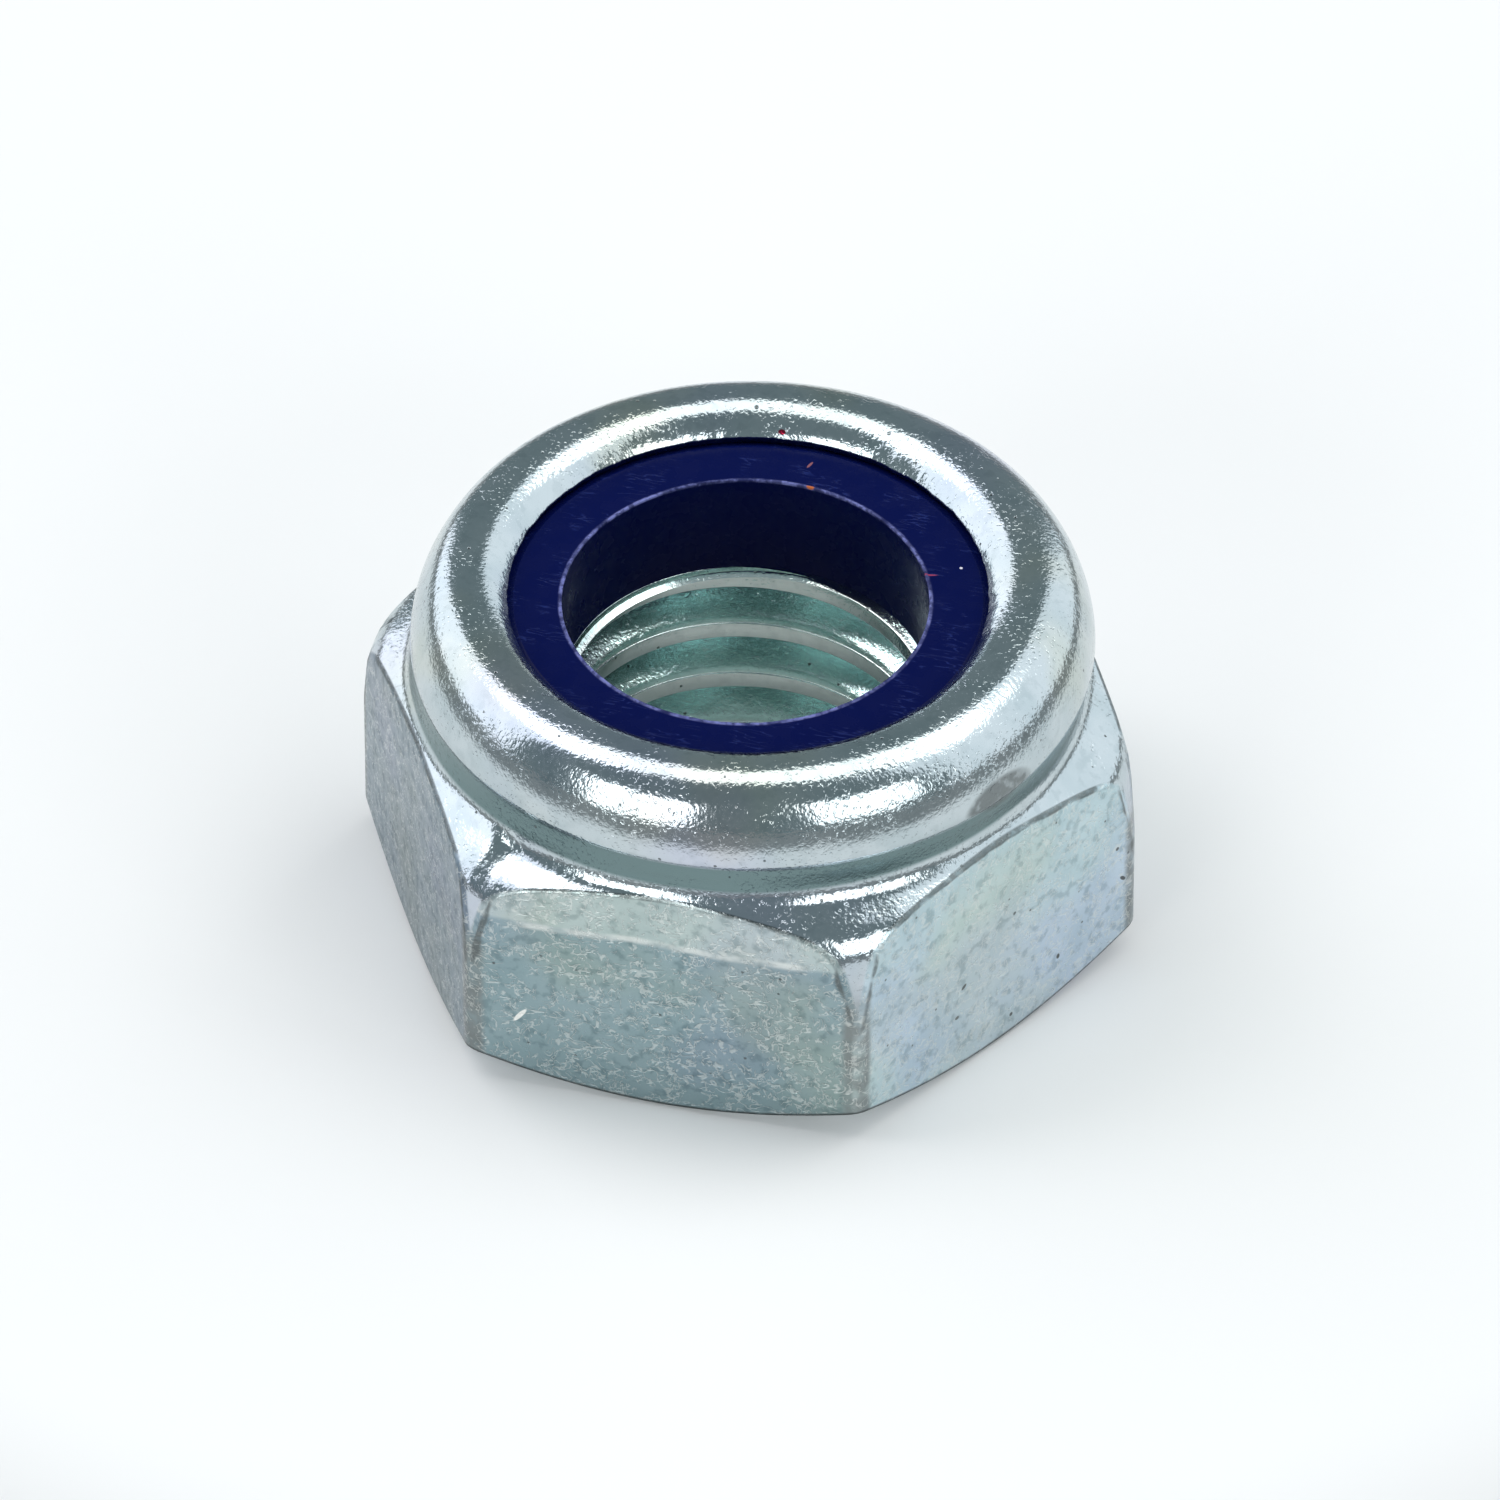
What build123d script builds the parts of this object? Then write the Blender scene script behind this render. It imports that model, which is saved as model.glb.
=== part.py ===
from build123d import *
import os
from math import asin, cos, degrees, radians, sin, sqrt, tan

# Hexagon lock nut with a plastic locking ring trapped under a crimped collar.
# Millimetres. The origin is the centre of the bearing face and +Z points to the collar.

# Screw thread: metric coarse, 8 mm
thread_diameter = 8.0
thread_pitch = 1.25
countersink_angle = 120.0
mouth_allowance = 0.2

# Hexagon, with the height of its flats measured in the middle of a flat
across_flats = 13.0
flat_height = 5.1
corner_round = 0.35
bearing_diameter = 12.8
chamfer_angle = 30.0

# Corners short of metal near the top, as cold forming leaves them
corner_shortfall = 0.25
corner_lean = 6.6
corner_blend = 0.5

# Collar, set back a little from the flats, with its heights measured from the top of the flats.
# The crimped part starts at a shoulder, a little proud of the wall below it, and curves over to
# its crest and down to the lip.
collar_height = 2.5
collar_setback = 0.1
collar_wall = 0.9
collar_taper = 2.0
neck_fillet = 0.5
shoulder_height = 0.95
shoulder_step = 0.05
shoulder_step_height = 0.08
shoulder_ease = 0.15
crimp_radius = 1.0
lip_reach = 1.02
lip_drop = 0.43
lip_nose_height = 0.2
lip_nose_width = 0.1
lip_slope = 20.0
pocket_bevel = 0.25

# Locking ring
insert_height = 2.25
insert_relief = 0.1
insert_sink = 0.12
insert_clearance = 0.02
insert_shoulder = 0.1
insert_edge = 0.1

# Thread sizes: the plain bore is the thread's crest diameter
thread_depth = thread_pitch * 5 * sqrt(3) / 16
bore_radius = thread_diameter / 2 - thread_depth
mouth_radius = thread_diameter / 2 + mouth_allowance
seat_mouth_radius = thread_diameter / 2
countersink_slope = tan(radians(90 - countersink_angle / 2))

# Radii and heights that follow from the sizes above
flat_distance = across_flats / 2
corner_radius = across_flats / sqrt(3)
collar_radius = flat_distance - collar_setback
crest_radius = collar_radius - crimp_radius - shoulder_ease
pocket_radius = collar_radius - collar_wall
lip_radius = pocket_radius - lip_reach
wall_top_height = flat_height + shoulder_height - shoulder_step_height
total_height = flat_height + collar_height
lip_height = total_height - lip_drop
insert_top = lip_height - insert_sink
seat_height = insert_top - insert_height
insert_bore_radius = bore_radius + insert_relief


def cone_height(radius):
    """Height of the hexagon's top chamfer at a radius."""
    return flat_height - (radius - flat_distance) * tan(radians(chamfer_angle))


def underside_height(radius, gap=0.0):
    """Height of the lip's underside at a radius, less a gap measured square to it."""
    slope = radians(lip_slope)
    nose_height = lip_height - lip_nose_height
    nose_radius = lip_radius + lip_nose_width
    return nose_height - (radius - nose_radius) * tan(slope) - gap / cos(slope)


def corner_at(face, point):
    """The corner of a half section nearest to a point (radius, height)."""
    return face.vertices().sort_by_distance((point[0], 0, point[1]))[0]


def crimp_curve(shoulder, crest):
    """Two tangent arcs: upright at the shoulder, level at the crest, with the crimp radius at the crest."""
    width = shoulder[0] - crest[0]
    rise = crest[1] - crimp_radius - shoulder[1]
    side_radius = (width**2 + rise**2 - crimp_radius**2) / (2 * shoulder_ease)
    side_angle = asin(rise / (side_radius - crimp_radius))
    side = JernArc(shoulder, (0, 1), side_radius, degrees(side_angle))
    top_start = (-sin(side_angle), cos(side_angle))
    return side + JernArc(side @ 1, top_start, crimp_radius, 90 - degrees(side_angle))


def nut_outline():
    """Half section of the turned form: bearing face, corners, collar, lip, pocket and bore."""
    taper = radians(collar_taper)
    lean = radians(corner_lean)
    slope = radians(chamfer_angle)

    bearing = (bearing_diameter / 2, 0)
    low_corner = (corner_radius, (corner_radius - bearing[0]) * tan(slope))
    top_corner_radius = corner_radius - corner_shortfall
    top_corner = (top_corner_radius, cone_height(top_corner_radius))
    high_corner = (corner_radius, top_corner[1] - corner_shortfall / tan(lean))

    shoulder = (collar_radius, flat_height + shoulder_height)
    wall_top = (collar_radius - shoulder_step, wall_top_height)
    wall_length = (wall_top[1] - cone_height(wall_top[0])) / (cos(taper) + tan(slope) * sin(taper))
    neck = (wall_top[0] - wall_length * sin(taper), wall_top[1] - wall_length * cos(taper))
    crest = (crest_radius, total_height)

    lip = (lip_radius, lip_height)
    nose = (lip_radius + lip_nose_width, lip_height - lip_nose_height)
    pocket_top = (pocket_radius, underside_height(pocket_radius))
    seat_outer = (pocket_radius, seat_height)
    seat_inner = (seat_mouth_radius, seat_height)
    bore_top = (bore_radius, seat_height - (seat_mouth_radius - bore_radius) * countersink_slope)
    bore_bottom = (bore_radius, (mouth_radius - bore_radius) * countersink_slope)
    mouth = (mouth_radius, 0)

    line = Polyline(bore_top, bore_bottom, mouth, bearing, low_corner, high_corner, top_corner, neck)
    line += Polyline(neck, wall_top, shoulder)
    line += crimp_curve(shoulder, crest)
    line += TangentArc(crest, lip, tangent=(-1, 0))
    line += Polyline(lip, nose, pocket_top, seat_outer, seat_inner, bore_top)

    face = Plane.XZ * make_face(line)
    face = fillet(corner_at(face, top_corner), corner_blend)
    face = fillet(corner_at(face, neck), neck_fillet)
    return chamfer(corner_at(face, pocket_top), pocket_bevel)


def hexagon_blank():
    """Hexagonal bar with rounded corners, up to the collar's plain wall."""
    bar = extrude(RegularPolygon(flat_distance, 6, major_radius=False), wall_top_height)
    return fillet(bar.edges().filter_by(Axis.Z), corner_round)


def nut_body():
    """The steel nut in one piece: the turned form with six flats."""
    turned = revolve(nut_outline(), Axis.Z)
    around = Pos(0, 0, wall_top_height / 2) * Cylinder(2 * corner_radius, wall_top_height)
    return turned - (around - hexagon_blank())


def nylon_insert():
    """The locking ring, formed to the pocket and pressed down by the lip."""
    outer_radius = pocket_radius - insert_clearance
    shoulder = (lip_radius - insert_shoulder, insert_top)
    pressed_radius = lip_radius + lip_nose_width
    pressed = (pressed_radius, underside_height(pressed_radius, insert_clearance))
    outer_top = (outer_radius, underside_height(outer_radius, insert_clearance))
    outer_bottom = (outer_radius, seat_height)
    bore_bottom = (insert_bore_radius, seat_height)
    bore_top = (insert_bore_radius, insert_top)

    line = Polyline(bore_top, bore_bottom, outer_bottom, outer_top, pressed, shoulder, close=True)
    face = Plane.XZ * make_face(line)
    face = chamfer(corner_at(face, outer_top), pocket_bevel)
    face = chamfer(corner_at(face, outer_bottom), insert_edge)
    face = chamfer(corner_at(face, bore_top), insert_edge)
    return revolve(face, Axis.Z)


os.makedirs("parts", exist_ok=True)
export_step(nut_body(), "parts/nut_body.step")
export_step(nylon_insert(), "parts/nylon_insert.step")
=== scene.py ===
"""Looks of a hexagon lock nut with a blue plastic locking ring under a crimped collar.

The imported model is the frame. The steel body and the ring are modelled here again, with the screw
thread, the rounded rims and the burr that it leaves out, and stand for its two nodes. Pieces are
shaped in millimetres and scaled to metres when they are finished. A half section is a list of
points, each a radius and a height. A bearing is an angle round the axis, in degrees from +X.
"""

import logging
import math
from dataclasses import dataclass
from enum import Enum
from functools import reduce
from typing import Optional, Union

import bpy
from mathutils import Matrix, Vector, noise


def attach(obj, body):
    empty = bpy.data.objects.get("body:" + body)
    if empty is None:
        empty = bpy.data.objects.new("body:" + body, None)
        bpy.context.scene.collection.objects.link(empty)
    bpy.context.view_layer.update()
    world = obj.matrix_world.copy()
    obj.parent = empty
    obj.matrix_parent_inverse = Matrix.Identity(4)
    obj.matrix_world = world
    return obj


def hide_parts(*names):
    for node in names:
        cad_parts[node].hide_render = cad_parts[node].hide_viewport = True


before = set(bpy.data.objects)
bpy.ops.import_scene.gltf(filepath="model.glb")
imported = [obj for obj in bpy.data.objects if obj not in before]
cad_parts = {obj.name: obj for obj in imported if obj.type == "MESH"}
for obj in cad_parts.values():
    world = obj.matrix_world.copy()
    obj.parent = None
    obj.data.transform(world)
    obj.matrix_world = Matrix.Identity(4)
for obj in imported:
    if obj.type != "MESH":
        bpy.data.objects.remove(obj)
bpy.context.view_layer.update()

# A grain is a noise's grains per millimetre and its detail, a dot kind is dots' places per
# millimetre, their radius and the share of places left empty.
Point = tuple[float, float]
Limits = tuple[float, float]
Grain = tuple[float, float]
DotKind = tuple[float, float, float]
Place = tuple[float, float, float]
Colour = tuple[float, float, float]
Output = bpy.types.NodeSocket
Value = Union[Output, float, tuple[float, ...]]

MILLIMETRE = 0.001
FULL_TURN = 2 * math.pi
COS_30 = math.cos(math.radians(30))
TAN_30 = math.tan(math.radians(30))
MERGE_DISTANCE = 0.0005
SMOOTH_ANGLE = math.radians(28)
COLLAR_FOOT: Limits = (5.4, 5.9)
NOISE_SPREAD: Limits = (0.3, 0.7)
MARK_EDGE: Limits = (1.0, 0.45)

log = logging.getLogger("lock_nut")


def blend(low: float, high: float, value: float) -> float:
    """Smooth step from 0 at the low value to 1 at the high one."""
    share = min(max((value - low) / (high - low), 0.0), 1.0)
    return share * share * (3 - 2 * share)


def moved(limits: Limits, by: float) -> Limits:
    """Both limits moved by the same length."""
    return limits[0] + by, limits[1] + by


def direction(bearing: float) -> Place:
    """Level unit vector at a bearing."""
    return math.cos(math.radians(bearing)), math.sin(math.radians(bearing)), 0.0


def arc(centre: Point, radius: float, start: float, end: float, steps: int) -> list[Point]:
    """Points of an arc in a half section.

    Args:
        centre: Centre of the arc.
        radius: Radius of the arc.
        start: First angle in degrees, from the outward direction up.
        end: Last angle in degrees.
        steps: Number of parts that the arc is divided into.

    Returns:
        The points from start to end, both included.
    """
    angles = [math.radians(start + (end - start) * step / steps) for step in range(steps + 1)]
    return [(centre[0] + radius * math.cos(a), centre[1] + radius * math.sin(a)) for a in angles]


def line(start: Point, end: Point, steps: int) -> list[Point]:
    """Evenly spaced points from start to end, the start left out."""
    shares = [(step + 1) / steps for step in range(steps)]
    return [tuple(a + (b - a) * share for a, b in zip(start, end)) for share in shares]


def round_corner(
    before: Point, corner: Point, after: Point, radius: float, steps: int
) -> list[Point]:
    """Points of the arc that rounds a corner of a half section.

    Args:
        before: A point on the straight run that leads to the corner.
        corner: The corner.
        after: A point on the straight run that leaves it.
        radius: Radius of the rounding.
        steps: Number of parts that the arc is divided into.

    Returns:
        The points of the arc, its two tangent points included.
    """
    tip = Vector(corner)
    back = (Vector(before) - tip).normalized()
    ahead = (Vector(after) - tip).normalized()
    half = back.angle(ahead) / 2
    centre = tip + (back + ahead).normalized() * radius / math.sin(half)
    first = tip + back * radius / math.tan(half) - centre
    last = tip + ahead * radius / math.tan(half) - centre
    start = math.degrees(math.atan2(first.y, first.x))
    sweep = (math.degrees(math.atan2(last.y, last.x)) - start + 180) % 360 - 180
    return arc((centre.x, centre.y), radius, start, start + sweep, steps)


def soft_corner(before: Point, corner: Point, after: Point, steps: int) -> list[Point]:
    """Points of a curve from one point to another that bends towards a corner.

    Args:
        before: First point of the curve.
        corner: The point that it bends towards.
        after: Last point of the curve.
        steps: Number of parts that the curve is divided into.

    Returns:
        The points, both ends included.
    """
    axes = list(zip(before, corner, after))
    return [
        tuple((1 - s) ** 2 * a + 2 * s * (1 - s) * b + s**2 * c for a, b, c in axes)
        for s in (step / steps for step in range(steps + 1))
    ]


def even_rows(points: list[Point], count: int, bend_length: float = 0.5) -> list[Point]:
    """Spread a set number of points over a line, closer together where it bends.

    Args:
        points: The line.
        count: How many points to return.
        bend_length: Length in millimetres that a bend of one radian counts for.

    Returns:
        The points, the first and last of the line included.
    """
    marks = [0.0]
    for index in range(1, len(points)):
        step = Vector(points[index]) - Vector(points[index - 1])
        bend = 0.0
        if index + 1 < len(points):
            bend = step.angle(Vector(points[index + 1]) - Vector(points[index]), 0.0)
        marks.append(marks[-1] + step.length + bend * bend_length)
    spread = []
    segment = 0
    for number in range(count):
        mark = marks[-1] * number / (count - 1)
        while segment < len(points) - 2 and marks[segment + 1] < mark:
            segment += 1
        share = (mark - marks[segment]) / (marks[segment + 1] - marks[segment])
        share = min(max(share, 0.0), 1.0)
        near, far = points[segment], points[segment + 1]
        spread.append((near[0] + (far[0] - near[0]) * share, near[1] + (far[1] - near[1]) * share))
    return spread


def walk(points: list[Point], length: float) -> tuple[Point, list[Point]]:
    """Go a length along a line.

    Args:
        points: The line.
        length: How far to go from its first point.

    Returns:
        The point there, and the rest of the line with that point first.
    """
    left = length
    for index in range(1, len(points)):
        step = Vector(points[index]) - Vector(points[index - 1])
        if step.length > left:
            spot = Vector(points[index - 1]) + step * (left / step.length)
            return (spot.x, spot.y), [(spot.x, spot.y)] + points[index:]
        left -= step.length
    return points[-1], points[-1:]


def select_only(piece: bpy.types.Object) -> None:
    """Deselect everything and make one object the active, selected one.

    Args:
        piece: The object.
    """
    bpy.ops.object.select_all(action="DESELECT")
    piece.select_set(True)
    bpy.context.view_layer.objects.active = piece


def draw_chain(name: str, points: list[Point]) -> bpy.types.Object:
    """Draw a chain of edges in the half plane above +X, by extruding one vertex along it.

    Args:
        name: Name of the new object.
        points: The chain's points.

    Returns:
        The object, with its vertices in the order of the points.
    """
    bpy.ops.object.select_all(action="DESELECT")
    bpy.ops.mesh.primitive_plane_add(size=1)
    piece = bpy.context.object
    piece.name = piece.data.name = name
    bpy.ops.object.mode_set(mode="EDIT")
    bpy.ops.mesh.merge(type="CENTER")
    bpy.ops.transform.translate(value=(points[0][0], 0, points[0][1]))
    for near, far in zip(points, points[1:]):
        step = (far[0] - near[0], 0, far[1] - near[1])
        bpy.ops.mesh.extrude_region_move(TRANSFORM_OT_translate={"value": step})
    bpy.ops.object.mode_set(mode="OBJECT")
    return piece


def spin_chain(piece: bpy.types.Object, steps: int) -> None:
    """Close the chain and spin it once round the axis, with the rows numbered in an attribute.

    Args:
        piece: Object that holds the chain, with its vertices in order.
        steps: Number of columns round the axis.
    """
    rows = piece.data.attributes.new("row", "INT", "POINT")
    rows.data.foreach_set("value", range(len(piece.data.vertices)))
    select_only(piece)
    bpy.ops.object.mode_set(mode="EDIT")
    bpy.ops.mesh.select_all(action="DESELECT")
    bpy.ops.object.mode_set(mode="OBJECT")
    for end in (0, -1):
        piece.data.vertices[end].select = True
    bpy.ops.object.mode_set(mode="EDIT")
    bpy.ops.mesh.edge_face_add()
    bpy.ops.mesh.select_all(action="SELECT")
    bpy.ops.mesh.spin(steps=steps, angle=FULL_TURN, center=(0, 0, 0), axis=(0, 0, 1))
    bpy.ops.mesh.select_all(action="SELECT")
    bpy.ops.mesh.remove_doubles(threshold=MERGE_DISTANCE)
    bpy.ops.mesh.normals_make_consistent(inside=False)
    bpy.ops.object.mode_set(mode="OBJECT")


def finish_piece(
    piece: bpy.types.Object, node: str, finish: bpy.types.Material
) -> None:
    """Scale a piece to metres, smooth and dress it, and let it stand for a node.

    Args:
        piece: The piece, in millimetres.
        node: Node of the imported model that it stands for.
        finish: Its material.
    """
    select_only(piece)
    piece.scale = (MILLIMETRE,) * 3
    bpy.ops.object.transform_apply(location=True, rotation=True, scale=True)
    bpy.ops.object.shade_smooth_by_angle(angle=SMOOTH_ANGLE)
    piece.data.materials.clear()
    piece.data.materials.append(finish)
    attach(piece, "root")
    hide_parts(node)
    log.info("%s: %d faces", piece.name, len(piece.data.polygons))


@dataclass(frozen=True)
class ThreadTap:
    """A screw-shaped tool that cuts the coarse right-hand thread, in millimetres."""

    pitch: float = 1.25
    crest_radius: float = 3.3234
    root_radius: float = 4.0
    crest_ease: float = 0.03
    root_ease: float = 0.07
    crest_height: float = 0.488
    lip_width: float = 0.11
    lip_slope: float = 12.0
    lip_foot: Point = (0.06, 0.035)
    turns: int = 8
    turns_below: int = 2
    bottom: float = -0.7
    top: float = 5.4
    steps: int = 160

    def rising(self, lip_width: float) -> list[Point]:
        """Half of a turn's section, from the middle of a crest flat to the middle of a root.

        Args:
            lip_width: Width of the flatter lip that tapping pushed up beside the crest.

        Returns:
            The points, with their heights measured from the crest's middle.
        """
        flank = (self.root_radius - self.crest_radius) * TAN_30
        crest_half = self.pitch / 8
        root_half = self.pitch / 16
        root = (self.root_radius, crest_half + flank)
        middle = (self.root_radius, root[1] + root_half)
        lip_end = (self.crest_radius + lip_width, crest_half + lip_width * TAN_30)
        lip_start = lip_end[1] - lip_width * math.tan(math.radians(self.lip_slope))
        crest = (self.crest_radius, lip_start)
        rows = [(self.crest_radius, 0.0)]
        after = lip_end if lip_width else root
        rows += round_corner(rows[0], crest, after, self.crest_ease, steps=4)
        if lip_width:
            foot = (lip_end[0] + self.lip_foot[0], lip_end[1] + self.lip_foot[1])
            rows += soft_corner(rows[-1], lip_end, foot, steps=3)[1:]
        return rows + round_corner(lip_end, root, middle, self.root_ease, steps=3)

    def profile(self) -> list[Point]:
        """Half section of one turn, from the middle of one crest flat to the next."""
        below = [(radius, self.pitch - height) for radius, height in reversed(self.rising(0.0))]
        return self.rising(self.lip_width) + below

    def make(self) -> bpy.types.Object:
        """Turn the profile into a closed screw.

        Returns:
            The tool, longer than the bore at both ends.
        """
        start = self.crest_height - self.turns_below * self.pitch
        tap = draw_chain("thread_tap", [(radius, z + start) for radius, z in self.profile()])
        select_only(tap)
        screw = tap.modifiers.new("screw", "SCREW")
        screw.axis = "Z"
        screw.angle = FULL_TURN
        screw.screw_offset = self.pitch
        screw.iterations = self.turns
        screw.steps = screw.render_steps = self.steps
        screw.use_merge_vertices = True
        screw.merge_threshold = MERGE_DISTANCE
        bpy.ops.object.modifier_apply(modifier=screw.name)
        bpy.ops.object.mode_set(mode="EDIT")
        bpy.ops.mesh.select_all(action="SELECT")
        bpy.ops.mesh.remove_doubles(threshold=MERGE_DISTANCE)
        for height, way in ((self.bottom, -1), (self.top, 1)):
            bpy.ops.mesh.select_all(action="SELECT")
            bpy.ops.mesh.bisect(
                plane_co=(0, 0, height), plane_no=(0, 0, way), use_fill=True, clear_outer=True
            )
        bpy.ops.mesh.select_all(action="SELECT")
        bpy.ops.mesh.normals_make_consistent(inside=False)
        bpy.ops.object.mode_set(mode="OBJECT")
        return tap


@dataclass(frozen=True)
class HexagonSizes:
    """Sizes of the nut's hexagon in millimetres, with the small faults of cold forming."""

    flat_distance: float = 6.5
    flat_height: float = 5.1
    bearing_radius: float = 6.4
    chamfer_end: float = 6.4
    slope: float = TAN_30
    corner_round: float = 0.35
    corner_shortfall: float = 0.25
    corner_lean: float = 6.6
    corner_blend: float = 0.9
    corner_faults: tuple[float, ...] = (0.02, 0.01, -0.01, 0.0, -0.02, 0.02)
    side_run: float = 0.4
    chamfer_drop: float = 0.17
    drop_bearing: float = -10.0
    dish_bearing: float = -107.0
    dish_spread: Limits = (16.0, 10.0)
    dish_slope: float = 0.17
    dish_least: float = 0.05
    rim_reach: float = 0.07
    crease_height: float = 4.02
    crease_margins: Limits = (0.3, 0.16)
    crease_ease: float = 0.05
    crease_leans: tuple[float, ...] = (1.6, 1.2, 2.0, 1.5, 2.6, 1.0)
    lean_spread: Limits = (29.0, 24.0)
    lean_rise: float = 1.1
    lean_depth: float = 0.35

    def reach(self, bearing: float) -> float:
        """Distance of the hexagon's surface from the axis.

        Args:
            bearing: Bearing of the point.

        Returns:
            The distance, along a flat or round a corner.
        """
        swing = math.radians(abs((bearing + 30) % 60 - 30))
        centre = (self.flat_distance - self.corner_round) / COS_30
        edge = math.atan2(self.corner_round / 2, centre + self.corner_round * COS_30)
        if swing < edge:
            inside = self.corner_round**2 - (centre * math.sin(swing)) ** 2
            return centre * math.cos(swing) + math.sqrt(inside)
        return self.flat_distance / math.cos(math.radians(30) - swing)

    def drop(self, bearing: float) -> float:
        """How much lower the top chamfer lies at a bearing, where it was struck deeper."""
        lean = max(math.cos(math.radians(bearing - self.drop_bearing)), 0.0)
        return self.chamfer_drop * lean * lean

    def dish(self, bearing: float, reach: float, radius: float, height: float) -> float:
        """How much lower the chamfer lies towards the collar, where it was struck flatter.

        Args:
            bearing: Bearing of the point.
            reach: Distance of the flat from the axis at that bearing.
            radius: Radius of the point on the chamfer, the neck or the collar's wall.
            height: Its height.

        Returns:
            The fall in millimetres, 0 at the rim.
        """
        off = abs((bearing - self.dish_bearing + 180) % 360 - 180)
        fall = (reach - self.chamfer_end) * self.dish_slope * blend(*self.dish_spread, off)
        inward = (reach - radius) / max(reach - self.chamfer_end, self.dish_least)
        return fall * min(max(inward, 0.0), 1.0) * blend(*COLLAR_FOOT[::-1], height)

    def upper_form(self, bearing: float, neck: list[Point]) -> list[Point]:
        """Half section of the turned form above the flats.

        Args:
            bearing: Bearing of the section.
            neck: Points of the neck's fillet, from the chamfer to the wall.

        Returns:
            The points from a corner's leaning side over the chamfer and the neck.
        """
        drop = self.drop(bearing)
        neck = [(radius, z - drop * blend(*COLLAR_FOOT[::-1], z)) for radius, z in neck]
        fault = self.corner_faults[round(bearing / 60) % 6]
        top_radius = self.flat_distance / COS_30 - self.corner_shortfall - fault
        top_height = self.flat_height - (top_radius - self.flat_distance) * self.slope
        top = (top_radius, top_height - drop)
        lean = math.tan(math.radians(self.corner_lean))
        low = (top[0] + self.side_run, top[1] - self.side_run / lean)
        return [low] + round_corner(low, top, neck[0], self.corner_blend, steps=10) + neck

    def side_rows(self, bearing: float, neck: list[Point]) -> list[Point]:
        """Half section of the hexagon, from the bearing face to the collar's wall.

        Args:
            bearing: Bearing of the section.
            neck: Points of the neck's fillet, from the chamfer to the wall.

        Returns:
            The section's points, always the same number of them.
        """
        reach = self.reach(bearing)
        low = (reach, (reach - self.bearing_radius) * self.slope)
        upper = self.upper_form(bearing, neck)
        index = next(i for i in range(1, len(upper)) if upper[i][0] <= reach)
        near, far = upper[index - 1], upper[index]
        share = (near[0] - reach) / (near[0] - far[0])
        high = (reach, near[1] + (far[1] - near[1]) * share)
        upper = [(radius, z - self.dish(bearing, reach, radius, z)) for radius, z in upper]

        ease = self.rim_reach
        cone_side = (low[0] - ease * math.cos(math.atan(self.slope)), low[1] - ease / 2)
        bottom_rim = soft_corner(cone_side, low, (reach, low[1] + ease), steps=4)
        after, rest = walk([high] + upper[index:], ease)
        top_rim = soft_corner((reach, high[1] - ease), high, after, steps=4)

        rows = line((self.bearing_radius, 0.0), cone_side, 2)[:-1] + bottom_rim
        rows += self.flat_rows(bottom_rim[-1], top_rim[0])
        return self.lean_in(bearing, reach, rows + top_rim + even_rows(rest, count=22)[1:])

    def flat_rows(self, low: Point, high: Point, below: int = 8, above: int = 4) -> list[Point]:
        """Points of a flat between its two rims, with close rows at the crease.

        Args:
            low: End of the bottom rim.
            high: Start of the top rim.
            below: Number of rows below the crease.
            above: Number of rows above it.

        Returns:
            The points, both rims left out.
        """
        margin_low, margin_high = self.crease_margins
        crease = min(max(self.crease_height, low[1] + margin_low), high[1] - margin_high)
        foot = crease - self.crease_ease - low[1]
        top = crease + self.crease_ease
        heights = [low[1] + foot * (step + 1) / below for step in range(below)] + [crease]
        heights += [top + (high[1] - top) * step / above for step in range(above)]
        return [(low[0], height) for height in heights]

    def lean_in(self, bearing: float, reach: float, rows: list[Point]) -> list[Point]:
        """Lean the band above the crease towards the axis, as forming left it.

        Args:
            bearing: Bearing of the section.
            reach: Distance of the flat from the axis at that bearing.
            rows: Points of the section.

        Returns:
            The section with its upper band leaning in, and nothing moved far from the flat.
        """
        lean = math.tan(math.radians(self.crease_leans[int(bearing // 60) % 6]))
        lean *= blend(*self.lean_spread, abs((bearing % 60) - 30))
        leaning = []
        for radius, height in rows:
            rise = min(max(height - self.crease_height, 0.0), self.lean_rise)
            share = blend(reach - self.lean_depth, reach, radius)
            leaning.append((radius - rise * lean * share, height))
        return leaning


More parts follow.
